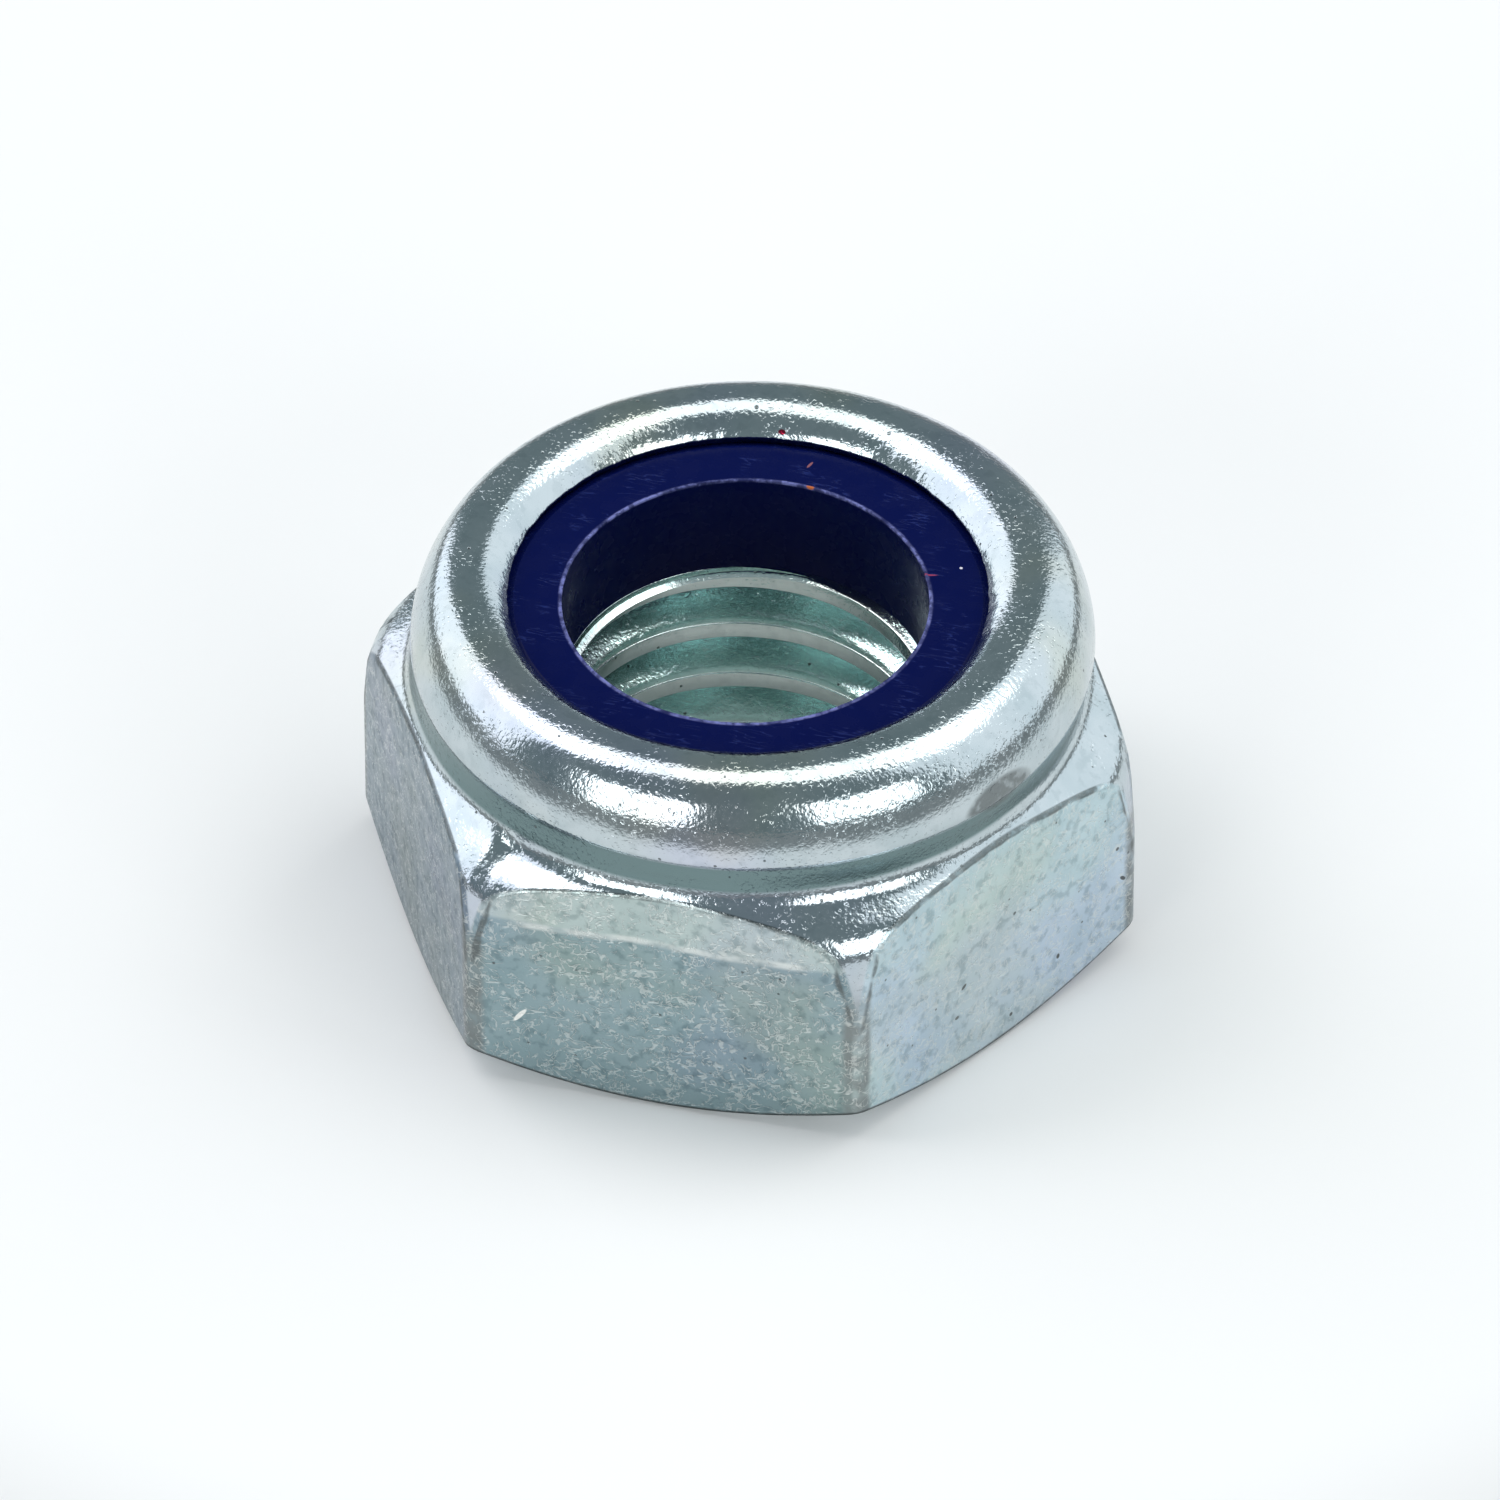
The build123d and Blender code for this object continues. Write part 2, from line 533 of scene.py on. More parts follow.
@dataclass(frozen=True)
class CollarSizes:
    """Sizes of the collar, its crimped lip and the pocket in millimetres."""

    neck_radius: float = 6.285
    neck_height: float = 5.224
    neck_fillet: float = 0.5
    wall_top: Point = (6.35, 5.97)
    wall_lean: float = 0.004
    shoulder: Point = (6.4, 6.05)
    shoulder_ease: float = 0.12
    crest: Point = (5.25, 7.6)
    crimp_radius: float = 1.0
    side_radius: float = 2.0833
    side_angle: float = 30.51
    lip: Point = (4.48, 7.17)
    lip_radius: float = 0.9044
    lip_turn: float = 2.0
    nose: Point = (4.58, 6.97)
    lip_ease: float = 0.04
    pocket_radius: float = 5.5
    underside_height: float = 6.635
    pocket_bevel: float = 0.25
    seat_height: float = 4.8
    seat_rim_radius: float = 3.5
    seat_rim_height: float = 0.08
    seat_rim_ease: float = 0.05
    seat_rim_arc: Limits = (75, 170)
    seat_rim_width: float = 0.42
    seat_rim_side: Point = (0.08, -0.01)
    seat_rim_foot: Point = (-0.06, -0.12)
    crimp_shift: Point = (0.082, 0.021)
    shift_margin: float = 0.1
    shift_radius: float = 6.2
    lip_waver: float = 0.022
    waver_reach: Limits = (0.35, 0.05)
    waver_heights: Limits = (6.9, 7.0)
    waves: tuple[Point, ...] = ((9, 1.0), (26, 0.6), (60, 0.4))

    def neck_rows(self, cone: Point) -> list[Point]:
        """Points of the fillet between the top chamfer and the collar's wall."""
        neck = (self.neck_radius, self.neck_height)
        return round_corner(cone, neck, self.wall_top, self.neck_fillet, steps=8)

    def outer_rows(self) -> list[Point]:
        """Points from the top of the collar's wall over the crest to the lip's nose.

        Returns:
            The points: the small shoulder, the side, the crest, the slope inside it and the lip.
        """
        side_centre = (self.shoulder[0] - self.side_radius, self.shoulder[1])
        top_centre = (self.crest[0], self.crest[1] - self.crimp_radius)
        lip_centre = (self.crest[0], self.crest[1] - self.lip_radius)
        run, rise = (tip - centre for tip, centre in zip(self.lip, lip_centre))
        lip_end = math.degrees(math.atan2(rise, run)) - self.lip_turn
        side = arc(side_centre, self.side_radius, 0, self.side_angle, steps=12)
        below = (self.wall_top[0] - self.wall_lean, self.wall_top[1] - self.shoulder_ease)
        middle = tuple((wall + start) / 2 for wall, start in zip(self.wall_top, side[0]))
        rows = soft_corner(below, self.wall_top, middle, steps=4)
        rows += soft_corner(rows[-1], side[0], side[1], steps=4)[1:] + side[2:]
        rows += arc(top_centre, self.crimp_radius, self.side_angle, 90, steps=14)[1:]
        rows += arc(lip_centre, self.lip_radius, 90, lip_end, steps=12)[1:]
        rows += round_corner(rows[-1], self.lip, self.nose, self.lip_ease, steps=4)
        return rows + [self.nose]

    def pocket_rows(self) -> list[Point]:
        """Points from the lip's nose down the pocket to the seat."""
        under = (self.pocket_radius, self.underside_height)
        bevel = (under[0], under[1] - self.pocket_bevel)
        return line(self.nose, under, 4)[:-1] + [bevel, (self.pocket_radius, self.seat_height)]

    def seat_rows(self) -> list[Point]:
        """Points from the seat's flat over the rim that drilling raised.

        Returns:
            The points, down to the foot of that rim inside the bore.
        """
        radius, rim = self.seat_rim_radius, self.seat_height + self.seat_rim_height
        side, foot = self.seat_rim_side, self.seat_rim_foot
        rows = [(radius + self.seat_rim_width, self.seat_height)]
        rows += [(radius + side[0], rim + side[1])]
        centre = (radius, rim - self.seat_rim_ease)
        rows += arc(centre, self.seat_rim_ease, *self.seat_rim_arc, steps=5)
        return rows + [(radius + foot[0], rim + foot[1])]


@dataclass(frozen=True)
class NutBody:
    """The steel nut in one piece: hexagon, collar, crimped lip, pocket and thread."""

    hexagon: HexagonSizes = HexagonSizes()
    collar: CollarSizes = CollarSizes()
    tap: ThreadTap = ThreadTap()
    cone_run: float = 0.4
    drill_radius: float = 3.2
    mouth_radius: float = 4.2
    seat_flat_radius: float = 4.3
    seat_bevel: float = 0.14
    columns: int = 360
    corner_columns: int = 12
    corner_spread: float = 1.7

    def bearing(self, column: int) -> float:
        """Bearing of a column, with the columns crowded at the corners.

        Args:
            column: Number of the column, counted from +X.

        Returns:
            The bearing.
        """
        share = self.columns // 6
        sector, step = divmod(column, share)
        sector += step >= share // 2
        side = (share - self.corner_columns) // 2
        step = (step + share // 2) % share - share // 2
        half = self.corner_columns // 2
        if abs(step) <= half:
            turn = self.corner_spread * step / half
        else:
            past = (abs(step) - half) / side
            turn = math.copysign(self.corner_spread + (30 - self.corner_spread) * past, step)
        return sector * 60 + turn

    def section(self, bearing: float) -> list[Point]:
        """Closed half section of the nut at one bearing.

        Args:
            bearing: Bearing of the section.

        Returns:
            The points, always the same number of them.
        """
        slope = self.hexagon.slope
        cone_height = self.hexagon.flat_height - self.cone_run * slope
        neck = self.collar.neck_rows((self.hexagon.flat_distance + self.cone_run, cone_height))
        outer = self.collar.outer_rows()
        rows = self.hexagon.side_rows(bearing, neck)
        rows += line(neck[-1], outer[0], 3)[:-1] + outer
        rows += self.collar.pocket_rows()
        rows += line(rows[-1], (self.seat_flat_radius, self.collar.seat_height), 2)
        rows += self.collar.seat_rows()
        rows += line(rows[-1], (self.drill_radius, rows[-1][1] - self.seat_bevel), 2)
        rows += [(self.drill_radius, (self.mouth_radius - self.drill_radius) * slope)]
        rows += line(rows[-1], (self.mouth_radius, 0.0), 2)
        return rows + line(rows[-1], (self.hexagon.bearing_radius, 0.0), 3)

    def make(self, finish: bpy.types.Material) -> bpy.types.Object:
        """Turn, form and thread the nut.

        Args:
            finish: Material of the plated steel.

        Returns:
            The finished piece.
        """
        body = draw_chain("lock_nut_body", self.section(0.0))
        spin_chain(body, self.columns)
        self.form(body)
        self.cut_thread(body)
        finish_piece(body, "nut_body", finish)
        return body

    def form(self, body: bpy.types.Object) -> None:
        """Move each point of the turned blank onto the section at its own bearing.

        Args:
            body: The turned blank.
        """
        bearings = [self.bearing(column) for column in range(self.columns)]
        sections = [self.section(bearing) for bearing in bearings]
        rows = body.data.attributes["row"]
        for vertex, row in zip(body.data.vertices, rows.data):
            turn = math.atan2(vertex.co.y, vertex.co.x) / FULL_TURN
            column = round(turn * self.columns) % self.columns
            radius, height = sections[column][row.value]
            along = Vector(direction(bearings[column]))
            vertex.co = along * radius + Vector((0, 0, height))
            vertex.co += self.crimp_fault(along, radius, height)
        body.data.attributes.remove(rows)

    def crimp_fault(self, along: Vector, radius: float, height: float) -> Vector:
        """How far a point of the collar lies from its true place, as the crimping tool left it.

        Args:
            along: Direction of the point from the axis.
            radius: Its distance from the axis.
            height: Its height.

        Returns:
            The shift: the collar's outside to one side, the lip's edge wavering in and out.
        """
        collar = self.collar
        outside = blend(collar.pocket_radius + collar.shift_margin, collar.shift_radius, radius)
        shift = Vector((*collar.crimp_shift, 0)) * (blend(*COLLAR_FOOT, height) * outside)
        edge = blend(*moved(collar.waver_reach, collar.lip[0]), radius)
        edge *= blend(*collar.waver_heights, height)
        waver = sum(strength * noise.noise(along * scale) for scale, strength in collar.waves)
        return shift + along * (waver * collar.lip_waver * edge)

    def cut_thread(self, body: bpy.types.Object) -> None:
        """Cut the thread into the drilled bore.

        Args:
            body: The formed nut.
        """
        tap = self.tap.make()
        select_only(body)
        cut = body.modifiers.new("thread", "BOOLEAN")
        cut.operation = "DIFFERENCE"
        cut.solver = "MANIFOLD"
        cut.object = tap
        bpy.ops.object.modifier_apply(modifier=cut.name)
        tool_mesh = tap.data
        bpy.data.objects.remove(tap)
        bpy.data.meshes.remove(tool_mesh)


@dataclass(frozen=True)
class LockingRing:
    """The blue plastic ring, with the pale burr that tapping leaves at the edge of its bore.

    The points of the foot and the burr are measured from the bore's wall and the ring's end.
    """

    outer_radius: float = 5.48
    bore_radius: float = 3.4234
    top: float = 7.05
    bottom: float = 4.8
    foot: tuple[Point, ...] = ((0.0, 0.12), (0.25, 0.11), (0.62, 0.006))
    shoulder: Point = (4.38, 7.05)
    shoulder_ease: float = 0.05
    pressed: Point = (4.58, 6.9487)
    outer_top: float = 6.6211
    bevel: float = 0.25
    bevel_slope: float = 0.36
    edge: float = 0.1
    flat_end: float = 0.12
    burr: tuple[Point, ...] = (
        (0.06, 0.003), (0.045, 0.021), (0.025, 0.03), (0.005, 0.018), (0.0, -0.01),
    )
    burr_foot: float = 0.001
    burr_grain: float = 2.3
    burr_mean: float = 0.75
    burr_swings: Point = (0.8, 0.4)
    burr_swell: Limits = (0.1, 1.5)
    bore_shift: Point = (-0.034, -0.06)
    shift_reach: Limits = (4.3, 3.6)
    columns: int = 240

    def section(self) -> list[Point]:
        """Closed half section of the ring.

        Returns:
            The points, from the bore's foot round the outside to the bore's edge.
        """
        bore, outer = self.bore_radius, self.outer_radius
        rows = [(bore + out, self.bottom + up) for out, up in self.foot]
        rows += line(rows[-1], (outer - self.edge, self.bottom), 2)
        rows += [(outer, self.bottom + self.edge), (outer, self.outer_top - self.bevel)]
        rows += [(outer - self.bevel, self.outer_top + self.bevel * self.bevel_slope)]
        rows += [self.pressed]
        inside = (bore + self.flat_end, self.top)
        rows += round_corner(self.pressed, self.shoulder, inside, self.shoulder_ease, steps=3)
        rows += line(rows[-1], inside, 5)
        rows += [(bore + out, self.top + up) for out, up in self.burr]
        return rows + line(rows[-1], rows[0], 6)[:-1]

    def make(self, finish: bpy.types.Material) -> bpy.types.Object:
        """Spin the ring and roughen its burr.

        Args:
            finish: Material of the plastic.

        Returns:
            The finished piece.
        """
        ring = draw_chain("locking_ring", self.section())
        spin_chain(ring, self.columns)
        self.roughen(ring)
        finish_piece(ring, "nylon_insert", finish)
        return ring

    def roughen(self, ring: bpy.types.Object) -> None:
        """Make the burr rise and fall round the bore, and set the bore a little off centre.

        Args:
            ring: The spun ring.
        """
        least, most = self.burr_swell
        coarse, fine = self.burr_swings
        for vertex in ring.data.vertices:
            share = blend(*self.shift_reach, math.hypot(vertex.co.x, vertex.co.y))
            vertex.co.x += self.bore_shift[0] * share
            vertex.co.y += self.bore_shift[1] * share
            above = vertex.co.z - self.top
            if above > self.burr_foot:
                spot = Vector((vertex.co.x, vertex.co.y, 0)) * self.burr_grain
                swell = self.burr_mean + coarse * noise.noise(spot) + fine * noise.noise(spot * 4)
                vertex.co.z = self.top + above * min(max(swell, least), most)
        ring.data.attributes.remove(ring.data.attributes["row"])


@dataclass(frozen=True)
class Clouds:
    """Soft random patches: a noise cut between two levels, from one end value to the other."""

    scale: float
    detail: float
    levels: Limits
    ends: Limits = (0.0, 1.0)


class Shader:
    """Node tree of a material, with short calls for the nodes that the finishes use."""

    def __init__(self, name: str) -> None:
        """Start a material with one Principled shader and coordinates in millimetres.

        Args:
            name: Name of the material.
        """
        self.material = bpy.data.materials.new(name)
        self.material.use_nodes = True
        self.tree = self.material.node_tree
        self.surface = self.tree.nodes["Principled BSDF"]
        metres = self.node("TexCoord", {}).outputs["Object"]
        scaled = self.node("VectorMath", {0: metres, "Scale": 1 / MILLIMETRE}, operation="SCALE")
        self.place = scaled.outputs["Vector"]
        self.radius = self.from_axis(self.place)
        self.height = self.node("SeparateXYZ", {0: self.place}).outputs["Z"]

    def feed(self, socket: bpy.types.NodeSocket, value: Value) -> None:
        """Link a socket to an output, or set it where the value is a constant.

        Args:
            socket: The socket.
            value: The output or the constant. A colour gets full alpha.
        """
        if isinstance(value, bpy.types.NodeSocket):
            self.tree.links.new(value, socket)
        elif socket.type == "RGBA":
            socket.default_value = (*value, 1.0)
        else:
            socket.default_value = value

    def node(
        self, kind: str, inputs: dict[Union[int, str], Value], **settings: str
    ) -> bpy.types.Node:
        """Add a node.

        Args:
            kind: Its type, without the prefix that shader nodes share.
            inputs: What its sockets are fed with, by name or number.
            settings: Its other settings.

        Returns:
            The node.
        """
        node = self.tree.nodes.new("ShaderNode" + kind)
        for name, setting in settings.items():
            setattr(node, name, setting)
        for name, value in inputs.items():
            self.feed(node.inputs[name], value)
        return node

    def finish(self, inputs: dict[str, Value]) -> bpy.types.Material:
        """Feed the Principled shader.

        Args:
            inputs: What its sockets are fed with.

        Returns:
            The material.
        """
        for name, value in inputs.items():
            self.feed(self.surface.inputs[name], value)
        return self.material

    def vector(self, operation: str, first: Value, second: Value) -> Output:
        """Output of a Vector Math node that gives a vector."""
        return self.node("VectorMath", {0: first, 1: second}, operation=operation).outputs["Vector"]

    def dot(self, first: Value, second: Value) -> Output:
        """Dot product of two vectors."""
        return self.node("VectorMath", {0: first, 1: second}, operation="DOT_PRODUCT").outputs[1]

    def length(self, value: Value) -> Output:
        """Length of a vector."""
        return self.node("VectorMath", {0: value}, operation="LENGTH").outputs["Value"]

    def from_axis(self, place: Output) -> Output:
        """Distance of a place from the upright axis."""
        return self.length(self.vector("MULTIPLY", place, (1.0, 1.0, 0.0)))

    def facing(self, bearing: float) -> Output:
        """Distance of the surface along a bearing."""
        return self.dot(self.place, direction(bearing))

    def maths(self, operation: str, first: Value, second: Value = 0.0) -> Output:
        """Output of a Math node."""
        return self.node("Math", {0: first, 1: second}, operation=operation).outputs["Value"]

    def plus(self, first: Value, second: Value) -> Output:
        """Sum of two values."""
        return self.maths("ADD", first, second)

    def minus(self, first: Value, second: Value) -> Output:
        """Difference of two values."""
        return self.maths("SUBTRACT", first, second)

    def times(self, *values: Value) -> Output:
        """Product of values."""
        return reduce(lambda first, second: self.maths("MULTIPLY", first, second), values)

    def largest(self, *values: Value) -> Output:
        """Largest of several values."""
        return reduce(lambda first, second: self.maths("MAXIMUM", first, second), values)

    def step(self, value: Value, limits: Limits, ends: Limits = (0.0, 1.0)) -> Output:
        """Smooth step of a value between two limits.

        Args:
            value: The value.
            limits: The limits.
            ends: What is given at the first and at the second limit.

        Returns:
            The output.
        """
        names = ("Value", "From Min", "From Max", "To Min", "To Max")
        inputs = dict(zip(names, (value, *limits, *ends)))
        return self.node("MapRange", inputs, interpolation_type="SMOOTHSTEP").outputs["Result"]

    def grain(
        self, scale: float, detail: float, place: Optional[Output] = None, warp: float = 0.0
    ) -> Output:
        """Random noise.

        Args:
            scale: Grains per millimetre.
            detail: Number of finer layers.
            place: The coordinates, if not the plain ones.
            warp: How much the noise is distorted.

        Returns:
            The output, from 0 to 1.
        """
        inputs = {"Vector": self.place if place is None else place, "Scale": scale}
        inputs |= {"Detail": detail, "Distortion": warp}
        return self.node("TexNoise", inputs).outputs["Fac"]

    def clouds(self, look: Clouds, place: Optional[Output] = None) -> Output:
        """Random patches of one look."""
        return self.step(self.grain(look.scale, look.detail, place), look.levels, look.ends)

    def hairlines(self, grain: Output, limits: Limits) -> Output:
        """Thin lines where a noise passes its middle level."""
        return self.step(self.maths("ABSOLUTE", self.minus(grain, 0.5)), limits)

    def dots(self, scale: float, size: float, rarity: float) -> Output:
        """Small round dots strewn at random.

        Args:
            scale: Places for a dot per millimetre.
            size: Radius of a dot in millimetres.
            rarity: Share of the places that stay empty.

        Returns:
            An output that is 1 in a dot and 0 elsewhere.
        """
        cells = self.node("TexVoronoi", {"Vector": self.place, "Scale": scale})
        chance = self.node("SeparateColor", {0: cells.outputs["Color"]}).outputs["Red"]
        spot = self.step(cells.outputs["Distance"], (size * scale, size * scale * 0.5))
        return self.times(spot, self.step(chance, (rarity, rarity + 0.02)))

    def between(self, share: Value, first: Value, second: Value) -> Output:
        """Plain number between two others, by a share."""
        return self.node("Mix", {"Factor": share, "A": first, "B": second}).outputs["Result"]

    def mix(self, share: Value, first: Value, second: Value, way: str = "MIX") -> Output:
        """Colour between two others, by a share."""
        inputs = {"Factor": share, "A": first, "B": second}
        return self.node("Mix", inputs, data_type="RGBA", blend_type=way).outputs["Result"]

    def tint(self, share: Value, colour: Value, by: Value) -> Output:
        """Colour multiplied by another, by a share."""
        return self.mix(share, colour, by, "MULTIPLY")

    def bump(self, height: Value, depth: float, under: Optional[Output] = None) -> Output:
        """Relief of the surface.

        Args:
            height: Height of the relief, from 0 to 1.
            depth: Its depth in millimetres.
            under: Another relief that it is laid over.

        Returns:
            The output for a Normal socket.
        """
        inputs = {"Strength": 1.0, "Distance": depth * MILLIMETRE, "Height": height}
        if under is not None:
            inputs["Normal"] = under
        return self.node("Bump", inputs).outputs["Normal"]


@dataclass(frozen=True)
class Mark:
    """A nick, a pit or a speck of dust at one place of a surface, with its sizes in millimetres."""

    place: Place
    colour: Colour
    width: float
    length: float
    direction: Place = (0.0, 0.0, 1.0)

    def mask(self, shader: Shader) -> Output:
        """Where the mark is.

        Args:
            shader: The material's node tree.

        Returns:
            An output that is 1 in the mark and 0 outside it.
        """
        offset = shader.vector("SUBTRACT", shader.place, self.place)
        along = shader.dot(offset, self.direction)
        along = shader.times(along, along)
        beside = shader.minus(shader.dot(offset, offset), along)
        reach = shader.plus(
            shader.maths("DIVIDE", along, self.length**2),
            shader.maths("DIVIDE", beside, self.width**2),
        )
        return shader.step(reach, MARK_EDGE)

    def lay(self, shader: Shader, tone: Value) -> Output:
        """The colour with the mark laid over it."""
        return shader.mix(self.mask(shader), tone, self.colour)


@dataclass(frozen=True)
class PlateMasks:
    """Masks of the plate's regions and flaws, 1 inside and 0 outside, and the two noises in use."""

    flats: Output
    thread: Output
    neck: Output
    corner: Output
    # Painted shade along the flats' rims.
    rim: Output
    # Painted highlight line at the crease; it is also a bump.
    crease: Output
    scratches: Output
    pits: Output
    mottle: Output
    speckle: Output


@dataclass(frozen=True)
class ZincPlate:
    """Bright zinc plate: grainy where the steel was formed, scratched and mottled on the flats,
    with painted light and shade on the flats, the neck, the rims, the crease and in the thread.

    A pair of limits in millimetres says where a mask is 0 and where it is 1.
    """

    hexagon: HexagonSizes = HexagonSizes()
    top_corner: Point = (7.2556, 4.664)

    base: Colour = (0.56, 0.625, 0.65)
    shade: Colour = (0.88, 0.91, 0.915)
    lilac: Colour = (1.0, 0.955, 1.05)
    straw: Colour = (1.04, 1.0, 0.9)
    # Painted light in the bore: the thread, the seat and the countersinks are coloured far lighter
    # than the plate, the crests lightest.
    painted_bore_light: Colour = (0.74, 0.92, 0.90)
    crest: Colour = (0.88, 0.96, 0.94)
    # Painted shade: the collar's wall just above the neck is coloured dark.
    neck_shade: Colour = (0.17, 0.245, 0.25)
    # Pale metal in the scratches, and the painted highlight along the crease.
    bright: Colour = (0.80, 0.82, 0.79)
    # Dark pits, and painted shade along the flats' rims.
    grime_and_rim_shade: Colour = (0.12, 0.135, 0.135)
    # Darker on the rounded corners below the top chamfer, in patches.
    corner_darkening: Colour = (0.22, 0.235, 0.23)
    blotched: Colour = (0.66, 0.70, 0.71)
    # Painted light: the band above the crease of one flat is coloured lighter.
    painted_band_light: Colour = (1.6, 1.42, 1.3)
    lit_band_flat: int = 4
    # Painted light and shade: a brightness for each flat, those facing 210 and 270 degrees darkest,
    # the one facing 330 lightest.
    flat_light_and_shade: tuple[Colour, ...] = (
        (0.52, 0.59, 0.62), (0.45, 0.52, 0.54), (0.50, 0.57, 0.60),
        (0.24, 0.30, 0.345), (0.305, 0.405, 0.43), (0.565, 0.70, 0.74),
    )
    marks: tuple[Mark, ...] = (
        Mark((-2.74, -6.5, 1.71), (0.92, 0.92, 0.88), 0.055, 0.24, (0.593, 0.0, 0.805)),
        Mark((5.164, -4.056, 2.011), (0.12, 0.13, 0.13), 0.045, 0.09, (0.4, 0.69, 0.6)),
        Mark((5.073, -4.213, 1.348), (0.16, 0.17, 0.17), 0.045, 0.06, (0.5, 0.866, 0.0)),
        Mark((5.808, -2.94, 0.485), (0.12, 0.13, 0.13), 0.05, 0.05),
        Mark((6.442, -1.842, 1.124), (0.10, 0.11, 0.11), 0.05, 0.07),
        Mark((7.317, -0.327, 1.96), (0.10, 0.11, 0.12), 0.045, 0.11, (0.36, 0.62, -0.7)),
        Mark((7.237, -0.466, 2.79), (0.14, 0.15, 0.16), 0.05, 0.05),
        Mark((-0.485, 4.53, 7.28), (0.42, 0.02, 0.06), 0.06, 0.08, (1.0, 0.0, 0.0)),
    )

    flat_reach: Limits = (6.40, 6.44)
    flat_top: Limits = (5.3, 5.2)
    tone_reach: Limits = (6.36, 6.42)
    thread_reach: Limits = (4.3, 4.2)
    thread_top: Limits = (6.0, 5.0)
    crest_reach: Limits = (3.42, 3.35)
    neck_foot: Limits = (5.3, 5.42)
    neck_top: Limits = (6.03, 5.93)
    neck_reach: Limits = (6.1, 6.2)
    corner_reach: Limits = (7.32, 7.40)
    corner_top: Limits = (3.8, 3.0)
    rim_edge: Limits = (0.0, 0.035)
    rim_gap: Limits = (0.0, 0.03)
    rim_corner: Limits = (7.1, 7.3)
    rim_reach: Limits = (6.39, 6.465)
    foot_top: Limits = (0.09, 0.05)
    foot_bottom: Limits = (-0.05, -0.02)
    foot_reach: Limits = (6.40, 6.45)
    crease_width: Limits = (0.12, 0.02)
    crease_reach: Limits = (7.15, 6.95)
    crease_wander: float = 0.25
    crease_side: Limits = (6.3, 6.42)
    crease_shares: Limits = (0.15, 1.0)
    lit_band_edge: Limits = (-0.02, 0.1)

    mottle: Grain = (4, 4)
    speckle: Grain = (13, 1)
    waves: Grain = (0.8, 1)
    wander: Grain = (0.7, 2)
    shade_clouds: Clouds = Clouds(0.9, 3, (0.35, 0.65))
    lilac_clouds: Clouds = Clouds(0.23, 2, (0.48, 0.66))
    straw_clouds: Clouds = Clouds(0.3, 2, (0.52, 0.7))
    straw_offset: Place = (17.0, 5.0, 9.0)
    corner_patches: Clouds = Clouds(3, 3, (0.3, 0.6), (0.45, 0.85))
    rim_width: Clouds = Clouds(1.5, 3, NOISE_SPREAD, (0.03, 0.075))
    rim_patches: Clouds = Clouds(5, 3, (0.3, 0.5), (0.6, 0.95))
    crease_patches: Clouds = Clouds(2.2, 2, (0.35, 0.6), (0.3, 0.85))
    grit: Clouds = Clouds(12, 2, (0.56, 0.72))
    grit_patches: Clouds = Clouds(1.1, 2, (0.35, 0.65), (0.1, 0.9))
    blotch_levels: Limits = (0.5, 0.66)
    blotch_shares: Limits = (0.25, 0.8)
    pit_kinds: tuple[DotKind, ...] = ((1.15, 0.05, 0.7), (3.1, 0.035, 0.72))
    scratch_kinds: tuple[tuple[float, Place], ...] = (
        (3.6, (1.0, 1.0, 1.6)), (5.2, (1.5, 1.5, 1.0)),
    )
    scratch_width: Limits = (0.045, 0.01)
    scratch_warp: float = 0.8
    scratch_patch: float = 0.7
    scratch_levels: Limits = (0.46, 0.52)

    scratch_share: float = 0.42
    crease_highlight_share: float = 0.8
    shade_and_grime_share: float = 0.85
    flat_roughness: Limits = (0.27, 0.38)
    formed_roughness: Limits = (0.10, 0.17)
    thread_roughness: float = 0.15
    neck_roughness: float = 0.25
    flat_speckle: float = 0.3
    thread_speckle: float = 0.7
    speckle_depth: float = 0.006
    wear_depth: float = 0.006
    wave_depth: float = 0.025
    pit_depth: float = -0.012

    def build(self) -> bpy.types.Material:
        """Make the material.

        Returns:
            The material.
        """
        shader = Shader("zinc_plate")
        masks = self.masks(shader)
        return shader.finish({
            "Base Color": self.colour(shader, masks),
            "Metallic": 1.0,
            "Roughness": self.roughness(shader, masks),
            "Normal": self.relief(shader, masks),
        })

    def masks(self, shader: Shader) -> PlateMasks:
        """Find the regions and flaws of the plate.

        Args:
            shader: The material's node tree.

        Returns:
            Their masks.
        """
        radius, height, step = shader.radius, shader.height, shader.step
        sides = [shader.maths("ABSOLUTE", shader.facing(bearing)) for bearing in (30, 90, 150)]
        across = shader.largest(*sides)
        flats = shader.times(step(across, self.flat_reach), step(height, self.flat_top))
        neck = shader.times(step(height, self.neck_foot), step(height, self.neck_top))
        corner = shader.times(step(radius, self.corner_reach), step(height, self.corner_top))
        return PlateMasks(
            flats=flats,
            thread=shader.times(step(radius, self.thread_reach), step(height, self.thread_top)),
            neck=shader.times(neck, step(radius, self.neck_reach)),
            corner=shader.times(corner, shader.clouds(self.corner_patches)),
            rim=self.rim_mask(shader, across),
            crease=shader.times(self.crease_mask(shader), flats),
            scratches=shader.times(self.scratches(shader), flats),
            pits=shader.largest(*(shader.dots(*kind) for kind in self.pit_kinds)),
            mottle=shader.grain(*self.mottle),
            speckle=shader.grain(*self.speckle),
        )

    def rim_mask(self, shader: Shader, across: Output) -> Output:
        """Painted shade: a dark line on the flats along their edge with both chamfers and the blunt
        corners.

        Args:
            shader: The material's node tree.
            across: Distance from the axis towards the nearest flat.

        Returns:
            The mask.
        """
        hexagon, radius = self.hexagon, shader.radius
        lean = shader.maths("DIVIDE", shader.facing(hexagon.drop_bearing), radius)
        lean = shader.maths("MAXIMUM", lean, 0.0)
        height = shader.plus(shader.height, shader.times(lean, lean, hexagon.chamfer_drop))

